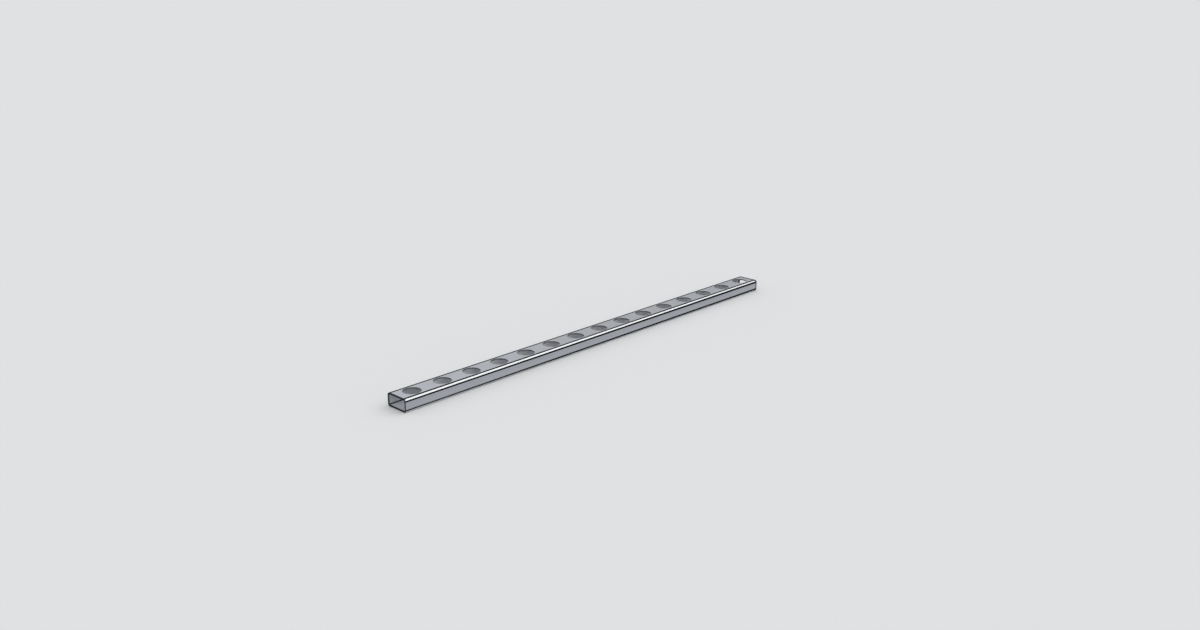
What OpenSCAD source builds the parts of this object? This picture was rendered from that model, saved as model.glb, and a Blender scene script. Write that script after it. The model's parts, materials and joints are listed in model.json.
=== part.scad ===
// Perforated rectangular tube: a cold-formed, seam-welded hollow section with open, square-cut ends
// and one row of round holes along its wide upper wall. Millimetres, +Z up. The tube lies flat along X
// on its plain wide wall. The origin is at the middle of the underside.

/* [Section] */
// Outside width of the section, across the perforated wall
tube_w = 60; // [52:1:120]
// Outside height of the section
tube_h = 30; // [20:1:60]
// Wall thickness
wall = 3; // [1.5:0.1:5]
// Inside radius of the four rolled corners
bend_r = 2.5; // [0.5:0.1:6]

/* [Length] */
// Cut length of the tube
tube_l = 1200; // [160:1:6000]

/* [Perforation] */
// Diameter of the round holes
hole_d = 38; // [8:0.5:48]
// Distance between the centres of neighbouring holes
hole_pitch = 80; // [50:1:200]
// Distance from the cut end at -X to the centre of the first hole
end_dist = 40; // [26:1:200]

/* [Hidden] */
$fn = 96;

// Rolling a flat strip keeps the wall even, so the outside corner shares the inside corner's centre.
corner_r = bend_r + wall;
inner_w = tube_w - 2 * wall;
inner_h = tube_h - 2 * wall;

// The row starts at one end and takes as many holes as leave at least the same distance at the other.
rounding = 0.001;
hole_count = floor((tube_l - 2 * end_dist) / hole_pitch + rounding) + 1;
first_hole_x = -tube_l / 2 + end_dist;

// How far a cut runs past the surface that it opens
cut_past = 1;

// Steel grey
steel = [0.68, 0.695, 0.725];

// A rectangle centred on the origin, with a true arc at each corner
module rounded_rectangle(w, h, r) {
    square([w - 2 * r, h], center = true);
    square([w, h - 2 * r], center = true);
    for (x = [-1, 1], y = [-1, 1])
        translate([x * (w / 2 - r), y * (h / 2 - r)])
            circle(r = r);
}

// The wall seen in section: even all round, outside and inside corners concentric
module section() {
    difference() {
        rounded_rectangle(tube_w, tube_h, corner_r);
        rounded_rectangle(inner_w, inner_h, bend_r);
    }
}

// The section drawn out along X, with its underside on the floor
module hollow_section() {
    translate([-tube_l / 2, 0, tube_h / 2])
        rotate([90, 0, 90])
            linear_extrude(height = tube_l)
                section();
}

// One hole through the upper wall alone
module wall_hole() {
    translate([0, 0, tube_h - wall - cut_past])
        cylinder(d = hole_d, h = wall + 2 * cut_past);
}

// The row of holes on the middle line of the upper wall
module hole_row() {
    for (i = [0 : 1 : hole_count - 1])
        translate([first_hole_x + i * hole_pitch, 0, 0])
            wall_hole();
}

module tube() {
    color(steel)
        difference() {
            hollow_section();
            hole_row();
        }
}

tube();
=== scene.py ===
import json
import math

import bpy
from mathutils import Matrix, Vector


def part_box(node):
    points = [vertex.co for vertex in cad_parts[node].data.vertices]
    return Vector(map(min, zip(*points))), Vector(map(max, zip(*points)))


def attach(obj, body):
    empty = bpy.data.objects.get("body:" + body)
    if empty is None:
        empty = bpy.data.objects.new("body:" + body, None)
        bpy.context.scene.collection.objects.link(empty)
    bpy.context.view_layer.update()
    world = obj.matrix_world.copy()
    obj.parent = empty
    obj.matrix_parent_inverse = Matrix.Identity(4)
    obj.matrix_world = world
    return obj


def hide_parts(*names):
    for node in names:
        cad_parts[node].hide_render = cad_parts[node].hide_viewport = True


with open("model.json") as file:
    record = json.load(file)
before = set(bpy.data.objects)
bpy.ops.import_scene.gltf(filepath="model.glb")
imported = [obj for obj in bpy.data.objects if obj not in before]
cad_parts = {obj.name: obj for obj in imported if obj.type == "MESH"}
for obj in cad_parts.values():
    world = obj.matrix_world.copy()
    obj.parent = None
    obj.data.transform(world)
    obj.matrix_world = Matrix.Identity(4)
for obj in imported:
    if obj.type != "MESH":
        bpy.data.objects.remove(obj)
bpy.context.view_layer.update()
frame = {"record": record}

millimetre = 0.001

# what the frame says about the tube
tubeLow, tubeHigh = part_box("tube")
holes = [m for m in frame["record"]["mounts"] if m["kind"] == "bore"]
tubeLength = tubeHigh.x - tubeLow.x
tubeWidth = tubeHigh.y - tubeLow.y
tubeHeight = tubeHigh.z - tubeLow.z
holeRadius = holes[0]["dims"]["r_mm"] * millimetre
wallThickness = holes[0]["dims"]["length_mm"] * millimetre
holePitch = holes[1]["pos_m"][0] - holes[0]["pos_m"][0]
holeCount = round(tubeLength / holePitch)
print("tube", tuple(round(v, 4) for v in (tubeLength, tubeWidth, tubeHeight)), "holes", holeCount)


class Wire:  # one socket of a node tree: sums written on it become Math nodes
    def __init__(self, tree, socket=None):
        self.tree = tree
        self.socket = socket

    def node(self, kind, settings=None, sockets=None, output=0):
        made = self.tree.nodes.new(kind)
        for name, value in (settings or {}).items():
            setattr(made, name, value)
        for name, value in (sockets or {}).items():
            if isinstance(value, Wire):
                self.tree.links.new(value.socket, made.inputs[name])
            else:
                made.inputs[name].default_value = value
        return Wire(self.tree, made.outputs[output])

    def maths(self, operation, *values):
        return self.node("ShaderNodeMath", {"operation": operation}, dict(enumerate(values)))

    def clamp(self, low, high):
        return self.node("ShaderNodeClamp", None, {"Value": self, "Min": low, "Max": high})

    def fade(self, start, end):  # 0 at start, 1 at end, eased
        return self.node("ShaderNodeMapRange", {"interpolation_type": "SMOOTHSTEP"},
                         {"Value": self, "From Min": start, "From Max": end})

    def sin(self):
        return self.maths("SINE", self)

    def cos(self):
        return self.maths("COSINE", self)

    def floor(self):
        return self.maths("FLOOR", self)

    def sign(self):
        return self.maths("SIGN", self)

    def root(self):
        return self.maths("SQRT", self)

    def wrap(self, span):
        return self.maths("FLOORED_MODULO", self, span)

    def larger(self, other):
        return self.maths("MAXIMUM", self, other)

    def __abs__(self):
        return self.maths("ABSOLUTE", self)

    def __add__(self, other):
        return self.maths("ADD", self, other)

    def __radd__(self, other):
        return self.maths("ADD", other, self)

    def __sub__(self, other):
        return self.maths("SUBTRACT", self, other)

    def __rsub__(self, other):
        return self.maths("SUBTRACT", other, self)

    def __mul__(self, other):
        return self.maths("MULTIPLY", self, other)

    def __rmul__(self, other):
        return self.maths("MULTIPLY", other, self)

    def __truediv__(self, other):
        return self.maths("DIVIDE", self, other)

    def __gt__(self, other):
        return self.maths("GREATER_THAN", self, other)

    def __lt__(self, other):
        return self.maths("LESS_THAN", self, other)


# finish of the steel
steelLook = {
    "pale": (0.452, 0.468, 0.502, 1),        # cool mill finish
    "deep": (0.388, 0.404, 0.438, 1),        # the same where oil and handling dulled it
    "lowPaintedLight": (0.497, 0.513, 0.548, 1),      # painted light low on the sides, offsetting the shade the floor casts on them
    "paintedCornerHighlight": (0.87, 0.874, 0.885, 1),      # painted highlight along the outer corners
    "inside": (0.92, 0.935, 0.96, 1),        # painted light on the inside walls, lifting the shade inside the tube
    "mouth": (0.53, 0.548, 0.582, 1),        # the inside near the open ends, lifted less than deeper in
    "dust": (0.64, 0.652, 0.677, 1),         # what has settled on the inner floor
    "holeWall": (0.20, 0.206, 0.218, 1),     # oxide left on a thermal cut
    "sawn": (0.008, 0.009, 0.011, 1),        # darker oxide on the sawn ends
    "tick": (0.02, 0.021, 0.024, 1),         # drag marks of the torch
    "tint": (0.045, 0.045, 0.048, 1),        # heat stain beside a cut
    "scale": (0.008, 0.0095, 0.0135, 1),     # mill scale pressed in where the rolls start a corner
    "noise": {                               # scales along x, y and z, then detail and roughness
        "grain": ((9, 2600, 2600), 3.0, 0.6),    # fine lengthwise roll lines
        "streak": ((1.6, 210, 210), 2.0, 0.5),   # broad streaks
        "mottle": ((13, 24, 24), 3.0, 0.5),      # oil and handling
        "scuff": ((70, 900, 900), 2.0, 0.7),
        "flake": ((120, 700, 700), 4.0, 0.7),    # the scale's ragged edge
        "drag": ((12, 12, 50), 2.0, 0.6),        # taken twice round a hole and once down its wall
        "saw": ((30, 110, 1500), 2.0, 0.6),
    },
    "noiseMiddle": 0.5,
    "tone": (1.5, 1.1, 0.5),                 # what mottle, streak and grain add between deep and pale
    "scuffEdge": (0.66, 0.74),
    "patch": {                               # a steady share, and what a noise adds to it
        # share of the painted light low on the sides
        "lowPaintedLight": (0.75, 0.5),
        # share of the painted highlight on the corners
        "paintedCornerHighlight": (0.7, 0.5),
        "dust": (0.7, 0.3),
        # share of the painted light and dust inside the tube
        "insideLightAndDust": (0.9, 0.1),
        "faceLine": (0.75, 0.5),
        "sideLine": (0.8, 0.4),
        "seam": (0.2, 0.4),
        "stain": (0.6, 0.5),
    },
    "cornerHighlightEdge": (0.06, 0.25),              # where the painted highlight on a corner starts and is full
    # how high the painted light on the sides reaches
    "lowPaintedLightReach": (5 * millimetre, 24 * millimetre),
    "mouthReach": (25 * millimetre, 90 * millimetre),
    "dustDepth": (0.5 * millimetre, 4 * millimetre),    # above the inner floor
    "sideLine": (2.0 * millimetre, 2.35 * millimetre),  # half-width of the solid core and of the whole line
    "faceLine": (2.4 * millimetre, 2.9 * millimetre),
    "sideTaper": 0.4,                        # the side lines widen by this share from end to end
    "sideInset": -0.3 * millimetre,          # how far a line's middle sits in on the flat, or out on the bend
    "faceInset": 0.15 * millimetre,
    "backInset": 0.6 * millimetre,           # what the back lines add to it
    "flakeDrift": 0.7 * millimetre,          # how far the scale's edge wanders
    "innerLine": (0.005, 0.04),              # where the scale inside a corner starts and is full
    "innerLineShare": 0.9,
    "seamHalf": 2.2 * millimetre,            # scarfed weld on the underside
    "seamCore": 0.8,
    "holeStain": (0.4 * millimetre, 1.5 * millimetre),  # where the stain starts to fade and where it ends
    "nearStain": (1.8 * millimetre, 4.0 * millimetre),
    "farStain": (7.0 * millimetre, 9.8 * millimetre),   # this end ran hotter
    "nearSides": 0.4,                        # share of that reach on the sides, which were dressed
    "farSides": 0.7,
    "upperReach": 1.1,                       # the upper wall and a little more, in walls
    "holeCut": (0.3, 0.8),                   # where a cut's colour starts to fade and ends, in broken edges
    "endCut": (0.2, 0.7),
    "tickCount": 24,
    "tickWander": 3,
    "tickNoise": 0.6,
    "tickEdge": (0.55, 0.9),
    "sawContrast": 2.2,
    "roughness": 0.33,
    "gloss": {                               # what each mark adds to the roughness
        "mottle": 0.16,
        "grain": 0.12,
        "scuff": 0.12,
        "inside": 0.3,
        "stain": 0.4,
        "cut": 0.1,
        "line": 0.6,
        # roughness added under the painted corner highlight
        "rolled": 0.2,
    },
    "oxideSheen": 0.0,                       # scale, oxide and the inside are dead matt
    "matt": 0.9,                             # share of the metal that the inside, oxide and stain cover
    "cutRelief": 3,                          # how much deeper a cut's marks are than the grain
    "bumpStrength": 0.22,
    "bumpDepth": 0.03 * millimetre,
}


def paintSteel(look, section):
    material = bpy.data.materials.new("tubeSteel")
    material.use_nodes = True
    tree = material.node_tree
    shader = tree.nodes["Principled BSDF"]
    shader.inputs["Specular IOR Level"].default_value = look["oxideSheen"]
    start = Wire(tree)
    place = start.node("ShaderNodeTexCoord", output="Object")
    split = place.node("ShaderNodeSeparateXYZ", None, {0: place})
    x, y, z = (Wire(tree, split.socket.node.outputs[i]) for i in range(3))
    middle = look["noiseMiddle"]

    def noise(name, parts=(x, y, z)):
        scales, detail, roughness = look["noise"][name]
        scaled = [part * scale for part, scale in zip(parts, scales)]
        spread = start.node("ShaderNodeCombineXYZ", None, dict(enumerate(scaled)))
        return start.node("ShaderNodeTexNoise", None, {"Vector": spread, "Scale": 1.0, "Detail": detail,
                                                       "Roughness": roughness})

    def patchy(name, field):
        steady, varied = look["patch"][name]
        return steady + varied * field

    def blend(amount, first, second):                # the sockets are those of the node's colour mode
        return start.node("ShaderNodeMix", {"data_type": "RGBA"}, {0: amount, 6: first, 7: second}, output=2)

    # distances that place the marks
    corner = section["cornerRadius"]
    halfLength, halfWidth, halfHeight = (section[name] / 2 for name in ("length", "width", "height"))
    halfWall = section["wall"] / 2
    flatHalf = halfWidth - corner
    sideHalf = halfHeight - corner
    rise = abs(z - halfHeight)                       # from the middle height
    across = abs(y)
    alongCell = (x + halfLength).wrap(section["pitch"]) - section["pitch"] / 2
    reach = (alongCell * alongCell + y * y).root()
    upperWall = z > section["height"] - section["wall"] * look["upperReach"]
    rim = reach - section["holeRadius"]              # from the wall of the nearest hole
    toEnd = halfLength - abs(x)                      # from the nearest cut end
    faceInset = look["faceInset"] + (y > 0) * look["backInset"]
    toFaceLine = abs(across - flatHalf + faceInset)  # from the middle of a line on a wide flat
    toSideLine = (abs(rise - sideHalf + look["sideInset"])
                  / (1 + x / section["length"] * look["sideTaper"]))

    # grain and handling, and painted light low on the sides
    grain, streak, mottle = noise("grain"), noise("streak"), noise("mottle")
    scuff = noise("scuff").fade(*look["scuffEdge"])
    ofMottle, ofStreak, ofGrain = look["tone"]
    tone = ((mottle - middle) * ofMottle + (streak - middle) * ofStreak
            + (grain - middle) * ofGrain + middle).clamp(0, 1)
    colour = blend(tone, look["deep"], look["pale"])
    # painted light: paler towards the floor, offsetting the floor's shade on the sides
    lowPaintedLight = (1 - z.fade(*look["lowPaintedLightReach"])) * patchy("lowPaintedLight", mottle)
    colour = blend(lowPaintedLight, colour, look["lowPaintedLight"])

    # corners, with a painted highlight
    bent = ((across - flatHalf) / corner).clamp(0, 1) * ((rise - sideHalf) / corner).clamp(0, 1)
    rolled = bent.fade(*look["cornerHighlightEdge"])
    colour = blend(rolled * patchy("paintedCornerHighlight", streak).clamp(0, 1), colour, look["paintedCornerHighlight"])

    # inside of the tube: painted light lifting its shade, dust on the floor, rougher and less metallic
    innerWall = (across < halfWidth - halfWall) * (rise < halfHeight - halfWall)
    settled = 1 - (z - section["wall"]).fade(*look["dustDepth"])
    insideLightAndDust = blend(settled * patchy("dust", mottle), look["inside"], look["dust"])
    # painted light inside: lifted less near the open ends
    insideLightAndDust = blend(toEnd.fade(*look["mouthReach"]), look["mouth"], insideLightAndDust)
    colour = blend(innerWall * patchy("insideLightAndDust", mottle), colour, insideLightAndDust)

    # scale lines at the bends, and the scarfed weld underneath
    drift = (noise("flake") - middle) * look["flakeDrift"]
    faceLine = (1 - (toFaceLine + drift).fade(*look["faceLine"])) * patchy("faceLine", streak)
    sideLine = (1 - (toSideLine + drift).fade(*look["sideLine"])) * patchy("sideLine", streak)
    innerLine = bent.fade(*look["innerLine"]) * innerWall
    bendLine = (faceLine.larger(sideLine).clamp(0, 1) * (1 - innerWall)
                + innerLine * look["innerLineShare"])
    colour = blend(bendLine, colour, look["scale"])
    seam = (1 - across.fade(look["seamHalf"] * look["seamCore"], look["seamHalf"])) * (z < halfWall)
    colour = blend(seam * patchy("seam", grain), colour, look["tint"])

    # heat stain beside the cuts
    onSide = across > halfWidth - halfWall

    def endStain(span, sideShare):
        return 1 - (toEnd / (1 - onSide * (1 - sideShare))).fade(*span)

    holeStain = (1 - rim.fade(*look["holeStain"])) * upperWall
    nearStain = endStain(look["nearStain"], look["nearSides"]) * (x < 0)
    farStain = endStain(look["farStain"], look["farSides"]) * (x > 0)
    stain = holeStain.larger(nearStain + farStain)
    colour = blend(stain * patchy("stain", mottle), colour, look["tint"])

    # the cuts themselves
    holeCut = (1 - rim.fade(*(section["edgeBreak"] * share for share in look["holeCut"]))) * upperWall
    endCut = 1 - toEnd.fade(*(section["edgeBreak"] * share for share in look["endCut"]))
    turn = start.maths("ARCTAN2", y, alongCell)
    drag = noise("drag", (turn, turn, z))
    ticks = ((turn * look["tickCount"] + drag * look["tickWander"]).cos()
             + (drag - middle) * look["tickNoise"]).fade(*look["tickEdge"])
    sawLines = noise("saw")
    cut = holeCut.larger(endCut)
    cutLines = (1 - ticks) * holeCut + sawLines * (1 - holeCut)
    holeColour = blend(ticks, look["holeWall"], look["tick"])
    sawn = ((sawLines - middle) * look["sawContrast"] + middle).clamp(0, 1)
    endColour = blend(sawn, look["sawn"], look["tick"])
    colour = blend(cut, colour, blend(holeCut, endColour, holeColour))

    # sheen and relief
    marks = {"mottle": mottle - middle, "grain": grain - middle, "scuff": scuff, "inside": innerWall,
             "stain": stain, "cut": cut, "line": bendLine, "rolled": rolled}
    gloss = look["roughness"]
    for name, mark in marks.items():
        gloss = gloss + mark * look["gloss"][name]
    metal = 1 - bendLine
    for cover in (innerWall, cut, stain):
        metal = metal * (1 - cover * look["matt"])
    height = grain * (1 - cut) + cutLines * cut * look["cutRelief"]
    bump = start.node("ShaderNodeBump", None, {"Height": height, "Strength": look["bumpStrength"],
                                               "Distance": look["bumpDepth"]})
    for name, wire in (("Base Color", colour), ("Metallic", metal), ("Roughness", gloss), ("Normal", bump)):
        tree.links.new(wire.socket, shader.inputs[name])
    return material


# shape of the tube: its outside comes from the frame, the rest is what the dies and the deburring leave
tubeShape = {
    "length": tubeLength,
    "width": tubeWidth,
    "height": tubeHeight,
    "wall": wallThickness,
    "cornerRadius": 5.5 * millimetre,
    "holeRadius": holeRadius,
    "pitch": holePitch,
    "edgeBreak": 0.4 * millimetre,
    "support": 0.8 * millimetre,             # a loop this far from each bend keeps the flats flat
}
tubeMesh = {
    "holes": holeCount,
    "cornerSteps": 8,
    "sideSteps": 24,                         # a quarter of a hole's points
    "rimSteps": 3,
    "weld": 0.02 * millimetre,
}


def growTube(shape, mesh, material):
    tree = bpy.data.node_groups.new("perforatedTube", "GeometryNodeTree")
    tree.interface.new_socket("Tube", in_out="OUTPUT", socket_type="NodeSocketGeometry")

    def inputId(name, kind):
        return tree.interface.new_socket(name, in_out="INPUT", socket_type=kind).identifier

    sizes = {name: inputId(name, "NodeSocketFloat") for name in shape}
    countId = inputId("holeCount", "NodeSocketInt")
    start = Wire(tree)
    inlet = tree.nodes.new("NodeGroupInput")
    outlet = tree.nodes.new("NodeGroupOutput")
    length, width, height, wall, corner, hole, pitch, edge, support = (
        Wire(tree, inlet.outputs[name]) for name in shape)
    count = Wire(tree, inlet.outputs["holeCount"])
    quarter = math.pi / 2
    half = 0.5                                       # between one row of points and the next
    cornerSteps, sideSteps, rimSteps = mesh["cornerSteps"], mesh["sideSteps"], mesh["rimSteps"]
    perCorner = cornerSteps + 3                      # a bend and a support loop on either side
    sectionPoints = 4 * perCorner
    flatHalf = width / 2 - corner - support          # half of the flat that the plates fill
    faceEnd = length / 2 - edge                      # where the deburred ends begin

    def grid(columns, rows):
        made = start.node("GeometryNodeMeshGrid", None, {"Vertices X": columns, "Vertices Y": rows})
        index = start.node("GeometryNodeInputIndex")
        column = (index / rows).floor()
        return made, column, index - column * rows

    def moved(geometry, px, py, pz):
        spot = start.node("ShaderNodeCombineXYZ", None, {0: px, 1: py, 2: pz})
        return start.node("GeometryNodeSetPosition", None, {"Geometry": geometry, "Position": spot})

    # a point of the section, counted from the upper flat's front edge, down and round to its back
    def sectionAt(step, inset):
        bend = (step / perCorner).floor()
        local = step - bend * perCorner
        angle = (bend + 1 + ((local - 1) / cornerSteps).clamp(0, 1)) * quarter
        middle = bend * quarter + 1.5 * quarter      # the angle halfway round the bend
        slide = ((local > perCorner - 1 - half) - (local < half)) * support
        radius = corner - inset
        py = middle.cos().sign() * (width / 2 - corner) + radius * angle.cos() - slide * angle.sin()
        pz = (height / 2 + middle.sin().sign() * (height / 2 - corner)
              + radius * angle.sin() + slide * angle.cos())
        return py, pz

    def skin(inset, way):                            # everything but the perforated flat
        stations = count * sideSteps
        made, column, step = grid(stations + 1, sectionPoints)
        px = ((column / stations - 0.5) * length * way).clamp(faceEnd * -1, faceEnd)
        return moved(made, px, *sectionAt(step, inset))

    def plate():                                     # one pitch of the flat with its hole, outside to inside
        firstArc = 2                                 # after the border and a support loop
        secondArc = firstArc + rimSteps + 1
        rows = 2 * (rimSteps + 1 + firstArc)
        lastRow = rows - 1
        made, column, row = grid(4 * sideSteps + 1, rows)
        side = column / sideSteps

        def boxWave(turns):                          # walks round a square of half-size 1
            return ((abs(turns.wrap(4) - 2) - 1) * 2).clamp(-1, 1)

        upper = ((row - firstArc) / rimSteps).clamp(0, 1) * quarter
        lower = ((row - secondArc) / rimSteps).clamp(0, 1) * quarter
        onFlat = (row < firstArc - half) + (row > lastRow - firstArc + half)
        onBorder = (row < half) + (row > lastRow - half)
        radius = hole + edge * (2 - upper.sin() - lower.cos()) + support * onFlat
        sweep = side * quarter
        px, py = radius * sweep.cos(), radius * sweep.sin()
        px = px + (boxWave(side) * pitch / 2 - px) * onBorder
        py = py + (boxWave(side - 1) * flatHalf - py) * onBorder
        pz = (height - edge * (1 - upper.cos() + lower.sin())
              - (wall - 2 * edge) * (row > secondArc - half))
        return moved(made, px, py, pz)

    def plateRow():
        first = start.node("ShaderNodeCombineXYZ", None, {0: (pitch - length) / 2})
        step = start.node("ShaderNodeCombineXYZ", None, {0: pitch})
        line = start.node("GeometryNodeMeshLine", {"mode": "OFFSET"},
                          {"Count": count, "Start Location": first, "Offset": step})
        copies = start.node("GeometryNodeInstanceOnPoints", None, {"Points": line, "Instance": plate()})
        loose = start.node("GeometryNodeRealizeInstances", None, {"Geometry": copies})
        spot = start.node("GeometryNodeInputPosition")
        parts = start.node("ShaderNodeSeparateXYZ", None, {0: spot}).socket.node.outputs
        px, py, pz = (Wire(tree, part) for part in parts)
        return moved(loose, px.clamp(faceEnd * -1, faceEnd), py, pz)

    def endRim(way):                                 # the cut face with both its edges broken
        ringPoints = sectionPoints + sideSteps - 1
        innerArc = rimSteps + 1
        made, row, step = grid(2 * innerArc, ringPoints + 1)
        if way > 0:
            step = ringPoints - step
        outer = (row / rimSteps).clamp(0, 1) * quarter
        inner = ((row - innerArc) / rimSteps).clamp(0, 1) * quarter
        inset = edge * (1 - outer.cos() + inner.sin()) + (wall - 2 * edge) * (row > innerArc - half)
        px = (faceEnd + edge * (outer.sin() + inner.cos() - 1)) * way
        py, pz = sectionAt(step, inset)
        onFlat = step > sectionPoints - half
        flatY = (1 - (step - sectionPoints + 1) * 2 / sideSteps) * flatHalf
        return moved(made, px, py + (flatY - py) * onFlat, pz + (height - inset - pz) * onFlat)

    joined = tree.nodes.new("GeometryNodeJoinGeometry")
    for part in (skin(0, -1), skin(wall, 1), plateRow(), endRim(-1), endRim(1)):
        tree.links.new(part.socket, joined.inputs[0])
    whole = Wire(tree, joined.outputs[0])
    for kind, sockets in (("GeometryNodeRealizeInstances", {}),
                          ("GeometryNodeMergeByDistance", {"Distance": mesh["weld"]}),
                          ("GeometryNodeSetShadeSmooth", {}),
                          ("GeometryNodeSetMaterial", {"Material": material})):
        whole = start.node(kind, None, {"Geometry": whole, **sockets})
    tree.links.new(whole.socket, outlet.inputs[0])

    piece = bpy.data.objects.new("perforated_tube", bpy.data.meshes.new("perforatedTube"))
    bpy.context.scene.collection.objects.link(piece)
    grower = piece.modifiers.new("grow", "NODES")
    grower.node_group = tree
    for name, identifier in sizes.items():
        grower[identifier] = shape[name]
    grower[countId] = mesh["holes"]
    drawn = piece.evaluated_get(bpy.context.evaluated_depsgraph_get())
    plain = bpy.data.meshes.new_from_object(drawn)
    piece.modifiers.clear()
    piece.data = plain
    return piece


tubeSteel = paintSteel(steelLook, tubeShape)
tube = growTube(tubeShape, tubeMesh, tubeSteel)
print("tube mesh", len(tube.data.vertices), "points", len(tube.data.polygons), "faces")
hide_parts("tube")
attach(tube, "root")

# floor and light: pale, even, the same in every direction
studio = {
    "backdrop": (0.745, 0.753, 0.760),
    "floorPaint": (0.706, 0.713, 0.721, 1),
    "floorHalf": 80.0,
    "floorDrop": 0.2 * millimetre,           # keeps the floor clear of the underside
    "lamps": (
        # name, direction it comes from, strength, softness in degrees, colour
        ("cornerKey", (0.69, -0.22, 0.69), 0.72, 56, (1, 0.98, 0.955)),
        ("farWash", (0.25, 0.80, 0.55), 0.16, 50, (1, 1, 1)),
        ("frontFill", (-0.38, -0.68, 0.62), 0.6, 90, (1, 1, 1)),
    ),
}


def layFloor(look):
    material = bpy.data.materials.new("floorPaint")
    material.use_nodes = True
    tree = material.node_tree
    tree.nodes.remove(tree.nodes["Principled BSDF"])
    paint = Wire(tree).node("ShaderNodeBsdfDiffuse", None, {"Color": look["floorPaint"]})
    tree.links.new(paint.socket, tree.nodes["Material Output"].inputs["Surface"])
    half = look["floorHalf"]
    level = -look["floorDrop"]
    mesh = bpy.data.meshes.new("floor")
    mesh.from_pydata([(-half, -half, level), (half, -half, level), (half, half, level), (-half, half, level)],
                     [], [(0, 1, 2, 3)])
    mesh.materials.append(material)
    floor = bpy.data.objects.new("floor", mesh)
    bpy.context.scene.collection.objects.link(floor)
    return floor


def lightStudio(look):
    world = bpy.data.worlds.new("studio")
    world.use_nodes = True
    world.node_tree.nodes["Background"].inputs["Color"].default_value = (*look["backdrop"], 1)
    bpy.context.scene.world = world
    for name, source, strength, softness, colour in look["lamps"]:
        lamp = bpy.data.lights.new(name, "SUN")
        lamp.energy = strength
        lamp.color = colour
        lamp.angle = math.radians(softness)
        holder = bpy.data.objects.new(name, lamp)
        holder.rotation_euler = Vector(source).to_track_quat("Z", "Y").to_euler()
        bpy.context.scene.collection.objects.link(holder)


layFloor(studio)
lightStudio(studio)
print("studio", len(studio["lamps"]), "lamps")

# the view, fitted to the tube's edges and holes in a 1200 x 630 picture
viewFit = {
    "azimuth": -46.3855,
    "elevation": 17.9685,
    "distance": 2.689794,
    "aside": 0.0021518,
    "above": 0.0453237,
    "focalPixels": 1113.6,
    "picturePixels": 1200,
    "sensor": 36.0,
    "clipEnd": 200,
}


def aimCamera(fit, middle):
    turn, lift = math.radians(fit["azimuth"]), math.radians(fit["elevation"])
    back = Vector((math.sin(turn) * math.cos(lift), -math.cos(turn) * math.cos(lift), math.sin(lift)))
    right = Vector((math.cos(turn), math.sin(turn), 0))
    shift = right * fit["aside"] + back.cross(right) * fit["above"]
    lens = bpy.data.cameras.new("view")
    lens.sensor_fit = "HORIZONTAL"
    lens.sensor_width = fit["sensor"]
    lens.lens = fit["focalPixels"] * fit["sensor"] / fit["picturePixels"]
    lens.clip_end = fit["clipEnd"]
    camera = bpy.data.objects.new("view", lens)
    camera.location = middle + back * fit["distance"] + shift
    camera.rotation_euler = (math.pi / 2 - lift, 0, turn)
    bpy.context.scene.collection.objects.link(camera)
    bpy.context.scene.camera = camera


aimCamera(viewFit, Vector((0, 0, tubeHeight / 2)))
bpy.context.scene.view_settings.view_transform = "Standard"
print("view", viewFit["azimuth"], viewFit["elevation"])
